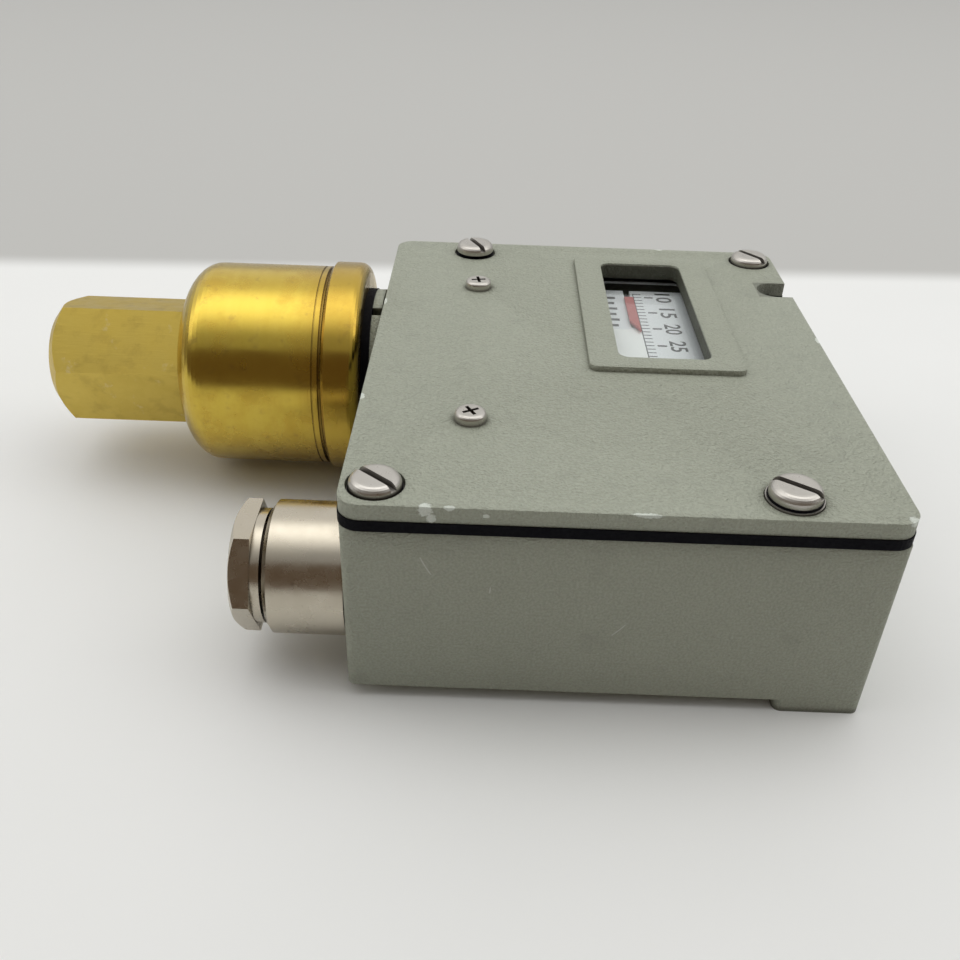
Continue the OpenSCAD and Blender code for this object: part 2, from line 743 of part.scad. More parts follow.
module adjusting_spindle() {
    color(steel) {
        along_y(spindle_x, 2.5, spindle_z) cylinder(r = spindle_r, h = lug_y[0] - 0.3 - 2.5, $fn = 48);
        along_y(spindle_x, lug_y[0] - 1, spindle_z) cylinder(r = journal_r, h = 8.4, $fn = 48);
    }
}

module adjusting_wheel() {
    ribs = 24;
    color(plated) along_y(spindle_x, wheel_y[0], spindle_z) difference() {
        cylinder(r = wheel_r, h = wheel_y[1] - wheel_y[0]);
        for (i = [0 : ribs - 1]) rotate([0, 0, 360 * i / ribs])
            translate([wheel_r + 0.1, 0, -1]) cylinder(r = 0.5, h = 10, $fn = 4);
        translate([0, 0, -1]) cylinder(r = journal_r + 0.01, h = 10, $fn = 48);
    }
}

module spindle_clip() {
    color(steel) along_y(spindle_x, wheel_y[1] + 0.05, spindle_z) difference() {
        ring(3.8, journal_r + 0.01, 0.7);
        translate([0, -0.8, -1]) cube([10, 1.6, 4]);
    }
}

module scale_plate() {
    color(white) difference() {
        round_block([scale_x[0], scale_y[0]], [scale_x[1], scale_y[1]], 2, scale_z, scale_t);
        block([spindle_x - 0.8, slot_y, 0], [spindle_x + 0.8, 60, 60]);
        for (p = scale_spots) translate([p[0], p[1], 0]) cylinder(r = 1.6, h = 60, $fn = 32);
    }
}

module scale_posts() {
    color(plated) for (p = scale_spots) translate([p[0], p[1], frame_top]) difference() {
        union() {
            hexagon(5, scale_z - frame_top);
            translate([0, 0, 0.5 - frame_t]) cylinder(r = 1.5, h = frame_t, $fn = 32);
        }
        translate([0, 0, scale_z - frame_top - 6]) cylinder(r = 1.28, h = 10, $fn = 32);
    }
}

module scale_screws() {
    color(steel) for (p = scale_spots) translate([p[0], p[1], scale_z + scale_t])
        cross_screw(2.3, 0.9, 1.25, 5, 45);
}

// ---- Differential ----

module differential_knob() {
    teeth = 16;
    color(brass) {
        along_y(diff_x, diff_wheel_y[0], spindle_z) difference() {
            cylinder(r = 6, h = diff_wheel_y[1] - diff_wheel_y[0]);
            for (i = [0 : teeth - 1]) rotate([0, 0, 360 * i / teeth])
                translate([6.2, 0, -1]) cylinder(r = 0.7, h = 10, $fn = 4);
        }
        along_y(diff_x, diff_lug_y[0] - 1, spindle_z) cylinder(r = diff_r, h = 4, $fn = 32);
        along_y(diff_x, diff_wheel_y[1] - 0.1, spindle_z) cylinder(r = diff_r, h = 12, $fn = 32);
    }
}

module differential_nut() {
    color(brass) difference() {
        block([diff_x - 4.5, diff_nut_y[0], frame_top + 4],
            [diff_x + 4.5, diff_nut_y[1], spindle_z + 4.5]);
        along_y(diff_x, -30, spindle_z) cylinder(r = diff_r + 0.05, h = 20, $fn = 32);
    }
}

module differential_spring() {
    color(steel) along_y(diff_x, diff_spring_y[0], spindle_z)
        wire(coil(3.1, diff_spring_y[1] - diff_spring_y[0], 6, 0.4), 0.4, sides = 6);
}

// ---- Switch and wiring ----

module microswitch() {
    color(phenolic) difference() {
        union() {
            block([switch_x[0], switch_y[0], switch_z[0]], [switch_x[1], switch_y[1], switch_z[1]]);
            along_x(switch_x[0] - 0.8, plunger_y, 25) cylinder(r = 2.4, h = 1.2, $fn = 32);
        }
        for (y = switch_hole_y) translate([switch_hole_x, y, 0])
            cylinder(r = m3_r + 0.1, h = 60, $fn = 32);
        along_x(-30, plunger_y, 25) cylinder(r = 1.3, h = 12, $fn = 32);
        // Joint line between the two halves of the case
        for (x = [switch_x[0] - 0.1, switch_x[1] - 0.2])
            block([x, switch_y[0] - 1, 24.8], [x + 0.3, switch_y[1] + 1, 25.2]);
    }
}

module switch_plunger() {
    color(white) along_x(-24.3, plunger_y, 25) cylinder(r = 1.25, h = 4.6, $fn = 32);
}

module switch_terminals() {
    color(brass) for (y = tab_y) {
        block([switch_x[1], y - 1.6, 24.2], [-1.6, y + 1.6, 25]);
        translate([-3.6, y, 25]) pan_head(1.5, 1.3, 0.5, 20, 0.6);
    }
}

module switch_screws() {
    color(steel) for (y = switch_hole_y) translate([switch_hole_x, y, switch_z[1]])
        cross_screw(2.7, 1.8, m3_r, 16, 0);
}

module pole_spots() {
    for (i = [0 : poles - 1]) translate([block_x + (i + 0.5) * pole_pitch, 0, 0]) children();
}

// The two fixing screws stand between the poles, behind the clamps
module block_spots() {
    for (i = [1, poles - 1])
        translate([block_x + i * pole_pitch, block_y[1] - 1.6, 0]) children();
}

module terminal_block() {
    color(phenolic) difference() {
        block([block_x, block_y[0], block_z[0]],
            [block_x + poles * pole_pitch, block_y[1], block_z[1]]);
        pole_spots() {
            block([-2.8, clamp_y - 3.4, block_z[0] + 2], [2.8, clamp_y + 3.4, 60]);
            along_y(0, -70, entry_z) cylinder(r = 1.9, h = 40, $fn = 32);
        }
        for (i = [1 : poles - 1])
            block([block_x + i * pole_pitch - 0.5, block_y[0] - 1, block_z[1] - 4],
                [block_x + i * pole_pitch + 0.5, clamp_y + 3.2, block_z[1] + 1]);
        block_spots() cylinder(r = 1.3, h = 60, $fn = 32);
    }
}

module terminal_clamps() {
    color(brass) pole_spots() difference() {
        block([-2.6, clamp_y - 3.2, block_z[0] + 2.2], [2.6, clamp_y + 3.2, block_z[0] + 12]);
        along_y(0, -70, entry_z) cylinder(r = 1.9, h = 40, $fn = 32);
        translate([0, clamp_y, entry_z]) cylinder(r = 1.45, h = 20, $fn = 32);
    }
}

module terminal_screws() {
    color(steel) pole_spots() translate([0, clamp_y, block_z[0] + 12.4])
        pan_screw(2.2, 1.9, 1.4, 4.2, 0.6, 25, 0.8);
}

module block_screws() {
    color(steel) block_spots() translate([0, 0, block_z[1]])
        pan_screw(1.5, 0.9, 1.2, 20, 0.4, 60, 0.4);
}

module switch_leads() {
    lead_r = 0.9;
    rise = 31;
    for (i = [0 : 2]) {
        end_x = block_x + (i + 0.5) * pole_pitch;
        start = [-3.6, tab_y[i], 26.8];
        path = smooth([start, [start[0] + 0.3 * i, tab_y[i] - 0.6, 29],
            [start[0] + 1.5 * i, tab_y[i] - 1.4 - 1.5 * i, rise + 1.8 * i],
            [end_x - 0.8 * i, -39.6, rise - 1 + 1.2 * i], [end_x, -40.6, 26],
            [end_x, -40.8, 19], [end_x, -41.6, 15], [end_x, -43.6, entry_z],
            [end_x, -46.5, entry_z]], 4);
        color(i == 0 ? "black" : i == 1 ? "sienna" : "royalblue")
            wire(path, lead_r, side = [1, 0.02, 0.01], sides = 8);
    }
}

module earth_washer() {
    color(plated) translate([earth_spot[0], earth_spot[1], floor_top + 4]) difference() {
        translate([-4, -4, 0]) cube([8, 8, 1.2]);
        translate([0, 0, -1]) cylinder(r = 2.1, h = 5, $fn = 32);
    }
}

module earth_screw() {
    color(brass) translate([earth_spot[0], earth_spot[1], floor_top + 5.2])
        pan_screw(3.6, 2.4, m4_r, 6.5, 1, 40, 1.1);
}

// ---- Cable gland ----

module gland_body() {
    chamfer = 0.9;
    color(nickel) along_x(0, gland_y, gland_z) rotate_extrude($fn = 96) polygon([
        [gland_bore_r, gland_x[0]], [gland_r - chamfer - 0.3, gland_x[0]],
        [gland_r, gland_x[0] + chamfer], [gland_r, gland_x[1]], [gland_thread_r, gland_x[1]],
        [gland_thread_r, -41.2], [7.4, -41.2], [7.4, gland_chamber], [gland_bore_r, gland_chamber]]);
}

module gland_washer() {
    color(rubber_black) along_x(gland_x[1], gland_y, gland_z)
        ring(gland_r - 1.1, gland_thread_r + 0.1, -gland_x[1] - case_w / 2);
}

module gland_seal() {
    color(rubber_black) along_x(gland_chamber, gland_y, gland_z) mirror([0, 0, 1])
        ring(gland_bore_r - 0.05, 5.2, 6.4);
}

module gland_ring() {
    color(steel) along_x(gland_chamber - 6.4, gland_y, gland_z) mirror([0, 0, 1])
        ring(gland_bore_r - 0.15, ring_bore_r, 1);
}

module gland_nut() {
    hex_l = gland_nut_x[1] - gland_nut_x[0];
    collar_l = gland_collar_x - gland_nut_x[1];
    shank_l = gland_chamber - 7.6 - gland_nut_x[1];
    color(nickel) along_x(gland_nut_x[1], gland_y, gland_z) mirror([0, 0, 1]) difference() {
        union() {
            rotate([0, 0, 30]) turned_hexagon(gland_af, hex_l, gland_af / 2 - 0.2, 0.577);
            translate([0, 0, -collar_l]) cylinder(r = gland_collar_r, h = collar_l + 0.5);
            translate([0, 0, -shank_l]) cylinder(r = gland_bore_r - 0.05, h = shank_l + 0.5);
        }
        translate([0, 0, -20]) cylinder(r = cable_hole_r, h = 40);
    }
}

// ---- Parts ----

housing();
cover();
cover_gasket();
cover_screws();
cover_screw_washers();
cover_screw_seals();
window_pane();
window_seal();
window_retainer();
retainer_screws();
insulating_shield();
shield_screws();
shield_nuts();
sensor_port();
sensor_can();
sensor_base();
sensor_seal();
sensor_lock_nut();
rod_bush();
bellows();
bellows_head();
thrust_rod();
mechanism_frame();
frame_screws();
lever();
lever_pin();
lever_clip();
range_spring();
spring_nut();
pointer();
adjusting_spindle();
adjusting_wheel();
spindle_clip();
scale_plate();
scale_posts();
scale_screws();
differential_knob();
differential_nut();
differential_spring();
microswitch();
switch_plunger();
switch_terminals();
switch_screws();
terminal_block();
terminal_clamps();
terminal_screws();
block_screws();
switch_leads();
earth_screw();
earth_washer();
gland_body();
gland_washer();
gland_seal();
gland_ring();
gland_nut();
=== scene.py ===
"""Pressure switch on a pale floor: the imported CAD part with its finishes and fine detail."""

import json
import math

import bpy
from mathutils import Matrix, Vector


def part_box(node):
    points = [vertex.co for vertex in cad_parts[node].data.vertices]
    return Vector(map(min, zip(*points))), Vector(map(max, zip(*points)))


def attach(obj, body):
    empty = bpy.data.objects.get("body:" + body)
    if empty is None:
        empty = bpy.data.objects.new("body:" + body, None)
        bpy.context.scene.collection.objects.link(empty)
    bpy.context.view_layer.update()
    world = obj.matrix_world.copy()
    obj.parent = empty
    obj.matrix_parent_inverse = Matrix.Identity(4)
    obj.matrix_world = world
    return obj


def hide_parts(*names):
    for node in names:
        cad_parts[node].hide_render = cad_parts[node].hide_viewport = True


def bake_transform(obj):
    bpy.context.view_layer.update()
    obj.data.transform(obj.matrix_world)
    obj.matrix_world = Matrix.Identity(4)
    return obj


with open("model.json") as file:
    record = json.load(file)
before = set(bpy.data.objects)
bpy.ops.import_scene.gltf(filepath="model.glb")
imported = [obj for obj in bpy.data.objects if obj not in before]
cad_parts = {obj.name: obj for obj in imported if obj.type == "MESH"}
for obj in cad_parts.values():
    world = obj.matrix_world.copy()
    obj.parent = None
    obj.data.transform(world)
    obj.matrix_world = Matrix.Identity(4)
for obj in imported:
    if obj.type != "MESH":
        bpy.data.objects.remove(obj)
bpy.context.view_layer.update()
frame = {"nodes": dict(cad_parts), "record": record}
MM = 0.001
nodes = frame["nodes"]
scene = bpy.context.scene
scene.view_settings.view_transform = "Standard"

# ---------------------------------------------------------------- camera

# The photograph's view, solved on the cover's edges: millimetres, degrees
CAMERA_AT = Vector((-24.25, -190.2, 138.8)) * MM
CAMERA_YAW = math.radians(-0.20)
CAMERA_PITCH = math.radians(34.12)
CAMERA_ROLL = math.radians(1.97)
CAMERA_LENS = 36.86
SENSOR_WIDTH = 36


def make_camera():
    """A camera turned by yaw, then pitched down, then rolled."""
    forward = Vector((math.sin(CAMERA_YAW) * math.cos(CAMERA_PITCH),
                      math.cos(CAMERA_YAW) * math.cos(CAMERA_PITCH),
                      -math.sin(CAMERA_PITCH)))
    level = Vector((math.cos(CAMERA_YAW), -math.sin(CAMERA_YAW), 0))
    steep = level.cross(forward)
    right = math.cos(CAMERA_ROLL) * level + math.sin(CAMERA_ROLL) * steep
    up = -math.sin(CAMERA_ROLL) * level + math.cos(CAMERA_ROLL) * steep
    data = bpy.data.cameras.new("camera")
    data.lens = CAMERA_LENS
    data.sensor_width = SENSOR_WIDTH
    data.clip_start = 0.01
    data.clip_end = 10
    camera = bpy.data.objects.new("camera", data)
    scene.collection.objects.link(camera)
    turn = Matrix((right, up, -forward)).transposed()
    camera.matrix_world = Matrix.Translation(CAMERA_AT) @ turn.to_4x4()
    scene.camera = camera


make_camera()

# ---------------------------------------------------------------- shader helpers

COLOUR_A = 6    # a colour Mix node's two inputs and its output
COLOUR_B = 7
MIXED = 2
CREVICE_SAMPLES = 8


class Finish:
    """One procedural material, built up node by node in millimetre-scaled object space."""

    def __init__(self, name):
        self.material = bpy.data.materials.new(name)
        self.material.use_nodes = True
        self.tree = self.material.node_tree
        self.surface = self.tree.nodes["Principled BSDF"]
        self.output = self.tree.nodes["Material Output"]
        place = self.tree.nodes.new("ShaderNodeTexCoord").outputs["Object"]
        self.place = self.vector("SCALE", place, scale=1 / MM)

    def link(self, source, socket):
        """Joins a node's output to a socket, or sets the socket to a plain value."""
        if hasattr(source, "is_output"):
            self.tree.links.new(source, socket)
        else:
            socket.default_value = source

    def vector(self, operation, a, b=None, scale=None):
        node = self.tree.nodes.new("ShaderNodeVectorMath")
        node.operation = operation
        self.link(a, node.inputs[0])
        if b is not None:
            self.link(b, node.inputs[1])
        if scale is not None:
            self.link(scale, node.inputs["Scale"])
        return node.outputs["Value" if operation in ("LENGTH", "DISTANCE") else "Vector"]

    def math(self, operation, a, b=0.0):
        node = self.tree.nodes.new("ShaderNodeMath")
        node.operation = operation
        for socket, value in zip(node.inputs, (a, b)):
            self.link(value, socket)
        return node.outputs[0]

    def axis(self, name):
        """Where the point lies along an axis, in millimetres."""
        node = self.tree.nodes.new("ShaderNodeSeparateXYZ")
        self.link(self.place, node.inputs[0])
        return node.outputs[name]

    def noise(self, size, detail=3.0, rough=0.55, stretch=(1, 1, 1), shift=0.0):
        """Noise whose features are about size millimetres wide."""
        node = self.tree.nodes.new("ShaderNodeTexNoise")
        grain = tuple(s / size for s in stretch)
        spot = self.vector("MULTIPLY", self.place, grain)
        spot = self.vector("ADD", spot, (shift, shift * 1.7, shift * 0.6))
        self.link(spot, node.inputs["Vector"])
        node.inputs["Scale"].default_value = 1.0
        node.inputs["Detail"].default_value = detail
        node.inputs["Roughness"].default_value = rough
        return node.outputs[0]

    def fade(self, value, low, high, out_low=0.0, out_high=1.0):
        """A smooth step of value between low and high."""
        node = self.tree.nodes.new("ShaderNodeMapRange")
        node.interpolation_type = "SMOOTHSTEP"
        self.link(value, node.inputs["Value"])
        node.inputs["From Min"].default_value = low
        node.inputs["From Max"].default_value = high
        node.inputs["To Min"].default_value = out_low
        node.inputs["To Max"].default_value = out_high
        return node.outputs[0]

    def mix(self, factor, a, b):
        """Colour a where factor is 0, colour b where it is 1."""
        node = self.tree.nodes.new("ShaderNodeMix")
        node.data_type = "RGBA"
        self.link(factor, node.inputs[0])
        for value, socket in ((a, node.inputs[COLOUR_A]), (b, node.inputs[COLOUR_B])):
            self.link(value if hasattr(value, "is_output") else (*value, 1.0), socket)
        return node.outputs[MIXED]

    def crevice(self, reach, low=0.35, high=0.8):
        """1 deep in slots and corners narrower than reach millimetres, 0 in the open."""
        node = self.tree.nodes.new("ShaderNodeAmbientOcclusion")
        node.samples = CREVICE_SAMPLES
        node.inputs["Distance"].default_value = reach * MM
        return self.fade(node.outputs["AO"], low, high, 1.0, 0.0)

    def bump(self, height, depth, strength=1.0, over=None):
        """Relief of depth millimetres, laid over another relief if one is given."""
        node = self.tree.nodes.new("ShaderNodeBump")
        node.inputs["Strength"].default_value = strength
        node.inputs["Distance"].default_value = depth * MM
        self.link(height, node.inputs["Height"])
        if over is not None:
            self.link(over, node.inputs["Normal"])
        return node.outputs[0]

    def set(self, **sockets):
        """Feeds the surface's sockets, named with underscores for spaces."""
        for name, value in sockets.items():
            self.link(value, self.surface.inputs[name.replace("_", " ")])


# ---------------------------------------------------------------- finishes

# Chipped places on the paint: position and reach in millimetres
CHIPS = [((-33.5, -60.0, 44.2), (1.6, 1.6, 1.6)), ((-29.5, -60.0, 44.8), (1.2, 0.9, 0.8)),
         ((-32.5, -60.0, 42.6), (1.0, 1.0, 1.1)), ((-23.5, -60.0, 43.4), (0.7, 1.0, 0.5)),
         ((3.0, -60.0, 44.7), (3.2, 0.8, 0.6)), ((47.0, -58.6, 44.4), (1.5, 1.5, 0.9)),
         ((-48.4, -24.0, 44.7), (0.9, 1.5, 0.6)), ((-48.4, 21.0, 44.7), (0.7, 2.2, 0.5)),
         ((48.4, 8.0, 44.7), (0.7, 1.8, 0.5)), ((20.0, 60.0, 44.5), (1.8, 0.8, 0.7))]

# Scratches on the front face: middle, direction in X and Z, half length, in millimetres
SCRATCHES = [((-22.3, 27.2), (0.10, 0.995), 0.9), ((1.0, 19.0), (0.64, 0.77), 1.9),
             ((-33.6, 32.0), (0.45, -0.89), 2.3)]

# How much noise frays a chip, and where it ends, as shares of its reach
CHIP_FRAY = 1.3
CHIP_EDGE = (1.55, 1.35)

# A scratch's edge, bow and fading tip, and the skin of the front face that takes scratches
SCRATCH_EDGE = (0.05, 0.16)
SCRATCH_BOW = 0.02
SCRATCH_TIP = 0.5
FRONT_SKIN = (-59.6, -59.3)

# How far the case's hollow lies inside its outline, and how far its shade stops from a
# face of the cover, in millimetres
WALL = 3.3
SEAM = 0.4

# The walls of the window's opening, which is smaller than the pane all round
PANE_LOW, PANE_HIGH = (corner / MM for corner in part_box("window_pane"))
OPENING_INSET = (3.4, 3.1)
OPENING_TOP = 0.45
WINDOW_LOW = (PANE_LOW.x + OPENING_INSET[0], PANE_LOW.y + OPENING_INSET[1], PANE_LOW.z)
WINDOW_HIGH = (PANE_HIGH.x - OPENING_INSET[0], PANE_HIGH.y - OPENING_INSET[1],
               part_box("cover")[1].z / MM - OPENING_TOP)

# The open channel of the fixing hole; its top is the cover's
CHANNEL_LOW = (40.5, 31.3, 2.0)
CHANNEL_HIGH = (50.0, 39.9)


def chip_mask(finish):
    """1 in the chipped places, with ragged edges."""
    ragged = finish.noise(0.8, 4, 0.7)
    mask = 0.0
    for spot, reach in CHIPS:
        away = finish.vector("SUBTRACT", finish.place, spot)
        away = finish.vector("DIVIDE", away, reach)
        away = finish.vector("LENGTH", away)
        away = finish.math("ADD", away, finish.math("MULTIPLY", ragged, CHIP_FRAY))
        mask = finish.math("MAXIMUM", mask, finish.fade(away, *CHIP_EDGE))
    return mask


def inside(finish, low, high, soft=0.2):
    """1 inside a box given in millimetres, 0 outside it."""
    mask = 1.0
    for name, start, stop in zip("XYZ", low, high):
        place = finish.axis(name)
        mask = finish.math("MULTIPLY", mask, finish.fade(place, start - soft, start + soft))
        mask = finish.math("MULTIPLY", mask, finish.fade(place, stop - soft, stop + soft, 1.0, 0.0))
    return mask


def scratches(finish):
    """A few thin scratches on the front face, pale where they are deep."""
    mask = 0.0
    for (x, z), (along_x, along_z), reach in SCRATCHES:
        right = finish.math("SUBTRACT", finish.axis("X"), x)
        up = finish.math("SUBTRACT", finish.axis("Z"), z)
        across = finish.math("SUBTRACT", finish.math("MULTIPLY", right, along_z),
                             finish.math("MULTIPLY", up, along_x))
        along = finish.math("ADD", finish.math("MULTIPLY", right, along_x),
                            finish.math("MULTIPLY", up, along_z))
        bow = finish.math("MULTIPLY", finish.math("MULTIPLY", along, along), SCRATCH_BOW)
        off_line = finish.math("ABSOLUTE", finish.math("ADD", across, bow))
        thin = finish.fade(off_line, *SCRATCH_EDGE, 1, 0)
        ends = finish.fade(finish.math("ABSOLUTE", along), reach - SCRATCH_TIP, reach, 1, 0)
        mask = finish.math("MAXIMUM", mask, finish.math("MULTIPLY", thin, ends))
    return finish.math("MULTIPLY", mask, finish.fade(finish.axis("Y"), *FRONT_SKIN, 1, 0))


def unlit_places(finish, colour):
    """Darkens the case's hollow, the window's opening and the fixing channel."""
    lid_low, lid_high = (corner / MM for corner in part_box("cover"))
    hollow = inside(finish, (lid_low.x + WALL, lid_low.y + WALL, WALL),
                    (lid_high.x - WALL, lid_high.y - WALL, lid_low.z + SEAM))
    opening = inside(finish, WINDOW_LOW, WINDOW_HIGH)
    channel = inside(finish, CHANNEL_LOW, CHANNEL_HIGH + (lid_high.z - SEAM,))
    colour = finish.mix(finish.math("MULTIPLY", hollow, 0.85), colour, (0.03, 0.033, 0.026))
    colour = finish.mix(finish.math("MULTIPLY", opening, 0.85), colour, (0.035, 0.037, 0.022))
    return finish.mix(finish.math("MULTIPLY", channel, 0.5), colour, (0.06, 0.063, 0.05))


def worn_paint(finish, colour):
    """Stains, rubbed places, dark specks, and the dirt and painted shade of corners."""
    stain = finish.fade(finish.noise(9, 4, 0.6, shift=7), 0.56, 0.72)
    rub = finish.fade(finish.noise(5, 5, 0.7, stretch=(1, 0.12, 1), shift=11), 0.62, 0.74)
    speck = finish.noise(1.1, 4, 0.7, shift=3)
    # Dirt and painted shade: an occlusion mask darkens corners and the foot of raised parts.
    crevice_dirt_and_shade = finish.math("MULTIPLY", finish.crevice(2.5, 0.45, 0.85), 0.75)
    colour = finish.mix(finish.math("MULTIPLY", stain, 0.30), colour, (0.25, 0.262, 0.22))
    colour = finish.mix(finish.math("MULTIPLY", rub, 0.16), colour, (0.42, 0.44, 0.40))
    colour = finish.mix(finish.fade(speck, 0.64, 0.74, 0, 0.45), colour, (0.20, 0.205, 0.17))
    return finish.mix(crevice_dirt_and_shade, colour, (0.08, 0.08, 0.055))


def paint():
    """Fine-textured grey-green enamel, worn, with a few scratches and chips."""
    finish = Finish("case_paint")
    cloud = finish.noise(28, 2)
    grain = finish.noise(0.5, 2, 0.5)
    colour = finish.mix(cloud, (0.338, 0.360, 0.292), (0.368, 0.390, 0.320))
    # Painted shade and highlight on the grain: its hollows darker and its crests paler, as light on the
    # relief would show them.
    colour = finish.mix(finish.fade(grain, 0.40, 0.56, 0.18, 0.0), colour, (0.20, 0.21, 0.18))
    colour = finish.mix(finish.fade(grain, 0.52, 0.72, 0.0, 0.16), colour, (0.50, 0.52, 0.46))
    colour = unlit_places(finish, worn_paint(finish, colour))
    colour = finish.mix(finish.math("MULTIPLY", scratches(finish), 0.75), colour, (0.62, 0.64, 0.60))
    chips = chip_mask(finish)
    metal_tone = finish.mix(finish.noise(1.1, 4, 0.7, shift=3), (0.52, 0.56, 0.50), (0.75, 0.80, 0.74))
    colour = finish.mix(chips, colour, metal_tone)
    relief = finish.bump(grain, 0.42)
    relief = finish.bump(finish.noise(1.4, 2, 0.5, shift=9), 0.30, 1.0, relief)
    relief = finish.bump(finish.math("SUBTRACT", 1.0, chips), 0.09, 0.8, relief)
    gloss = finish.math("ADD", 0.46, finish.math("MULTIPLY", cloud, 0.14))
    finish.set(Base_Color=colour, Roughness=gloss, Normal=relief)
    finish.surface.inputs["Specular IOR Level"].default_value = 0.32
    return finish.material


def rubber():
    """Matt black rubber with a little dust."""
    finish = Finish("black_rubber")
    grain = finish.noise(0.5, 4)
    dust = finish.fade(finish.noise(3, 4, 0.7, shift=5), 0.5, 0.75, 0, 0.5)
    colour = finish.mix(dust, (0.002, 0.002, 0.004), (0.008, 0.008, 0.011))
    finish.set(Base_Color=colour, Roughness=finish.fade(grain, 0.3, 0.7, 0.5, 0.75),
               Normal=finish.bump(grain, 0.04))
    finish.surface.inputs["Specular IOR Level"].default_value = 0.08
    return finish.material


def metal(name, bright, dull, polish):
    """Bare metal: two tones in clouds, small scratches, dirt in the pits, and dirt and painted shade in
    slots and corners.
    """
    finish = Finish(name)
    cloud = finish.noise(4, 4, 0.65)
    grain = finish.noise(1.5, 5, 0.7, shift=2)
    pits = finish.fade(finish.noise(0.9, 4, 0.7, shift=9), 0.62, 0.75, 0, 0.5)
    colour = finish.mix(cloud, bright, dull)
    colour = finish.mix(pits, colour, tuple(c * 0.35 for c in dull))
    rough = finish.fade(grain, 0.3, 0.7, polish, polish + 0.16)
    # Dirt and painted shade in slots and corners, which also lose their metal sheen.
    crevice_dirt_and_shade = finish.crevice(1.6)
    colour = finish.mix(crevice_dirt_and_shade, colour, (0.025, 0.018, 0.012))
    finish.set(Base_Color=colour, Metallic=finish.math("SUBTRACT", 1.0, crevice_dirt_and_shade), Roughness=rough,
               Normal=finish.bump(grain, 0.006))
    return finish.material


def spun_brass():
    """The can: turned round the X axis, gold with brown tarnish under a thin clear lacquer."""
    finish = Finish("spun_brass")
    lines = finish.noise(0.16, 2, 0.6, stretch=(1, 0.006, 0.006))
    bands = finish.noise(2.2, 3, 0.6, stretch=(1, 0.03, 0.03), shift=4)
    cloud = finish.noise(9, 4, 0.6, shift=6)
    smear = finish.fade(finish.noise(3.5, 5, 0.7, shift=12), 0.55, 0.70)
    colour = finish.mix(bands, (0.64, 0.475, 0.075), (0.57, 0.405, 0.045))
    colour = finish.mix(finish.fade(cloud, 0.42, 0.70, 0, 0.6), colour, (0.48, 0.30, 0.03))
    colour = finish.mix(finish.math("MULTIPLY", smear, 0.35), colour, (0.30, 0.19, 0.05))
    # Dirt and painted shade in the grooves and corners.
    crevice_dirt_and_shade = finish.math("MULTIPLY", finish.crevice(1.2), 0.9)
    colour = finish.mix(crevice_dirt_and_shade, colour, (0.05, 0.03, 0.01))
    can_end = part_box("sensor_can")[1].x / MM
    tarnish = finish.fade(finish.axis("X"), can_end - 7, can_end + 1, 0.0, 0.45)
    colour = finish.mix(tarnish, colour, (0.42, 0.25, 0.03))
    rough = finish.fade(cloud, 0.3, 0.75, 0.20, 0.31)
    relief = finish.bump(lines, 0.010)
    relief = finish.bump(bands, 0.05, 0.6, relief)
    finish.set(Base_Color=colour, Metallic=1.0, Roughness=rough, Normal=relief)
    finish.surface.inputs["Anisotropic"].default_value = 0.35
    finish.surface.inputs["Coat Weight"].default_value = 0.35
    finish.surface.inputs["Coat Roughness"].default_value = 0.25
    return finish.material


def machined_brass():
    """The hexagon: drawn faces with mottled tarnish and a few pale rubbed places."""
    finish = Finish("machined_brass")
    drawn = finish.noise(0.5, 4, 0.7, stretch=(0.10, 1, 1))
    cloud = finish.noise(7, 5, 0.65, shift=3)
    blot = finish.fade(finish.noise(4, 4, 0.6, shift=15), 0.48, 0.72)
    colour = finish.mix(cloud, (0.65, 0.49, 0.115), (0.54, 0.40, 0.08))
    colour = finish.mix(finish.math("MULTIPLY", blot, 0.34), colour, (0.36, 0.25, 0.06))
    pale = finish.fade(finish.noise(5, 4, 0.7, shift=21), 0.60, 0.72, 0, 0.5)
    colour = finish.mix(pale, colour, (0.66, 0.56, 0.30))
    rough = finish.fade(cloud, 0.3, 0.7, 0.32, 0.46)
    finish.set(Base_Color=colour, Metallic=1.0, Roughness=rough,
               Normal=finish.bump(drawn, 0.02))
    return finish.material


def turned_nickel():
    """The gland: turned round the X axis, warm grey plating."""
    finish = Finish("nickel_brass")
    lines = finish.noise(0.2, 2, 0.6, stretch=(1, 0.01, 0.01))
    cloud = finish.noise(6, 4, 0.6, shift=8)
    colour = finish.mix(cloud, (0.56, 0.515, 0.43), (0.48, 0.435, 0.35))
    spot = finish.fade(finish.noise(2.0, 5, 0.75, shift=17), 0.62, 0.74, 0, 0.6)
    colour = finish.mix(spot, colour, (0.26, 0.21, 0.15))
    # Dirt and painted shade in the grooves and corners.
    crevice_dirt_and_shade = finish.crevice(1.4)
    colour = finish.mix(crevice_dirt_and_shade, colour, (0.07, 0.055, 0.04))
    rough = finish.fade(cloud, 0.3, 0.7, 0.20, 0.32)
    finish.set(Base_Color=colour, Metallic=1.0, Roughness=rough, Normal=finish.bump(lines, 0.008))
    return finish.material


def plastic(name, dark, light, rough, depth=0.02):
    """Moulded or painted, in two tones, with a fine grain depth millimetres deep."""
    finish = Finish(name)
    cloud = finish.noise(5, 4, 0.6)
    grain = finish.noise(0.4, 3, 0.6, shift=5)
    colour = finish.mix(cloud, dark, light)
    finish.set(Base_Color=colour, Roughness=finish.fade(cloud, 0.3, 0.7, rough, rough + 0.15),
               Normal=finish.bump(grain, depth))
    return finish.material


PATCH_X = (11.6, 12.2)    # edges of the card's brighter front left patch, in millimetres
PATCH_Y = (22.6, 23.4)


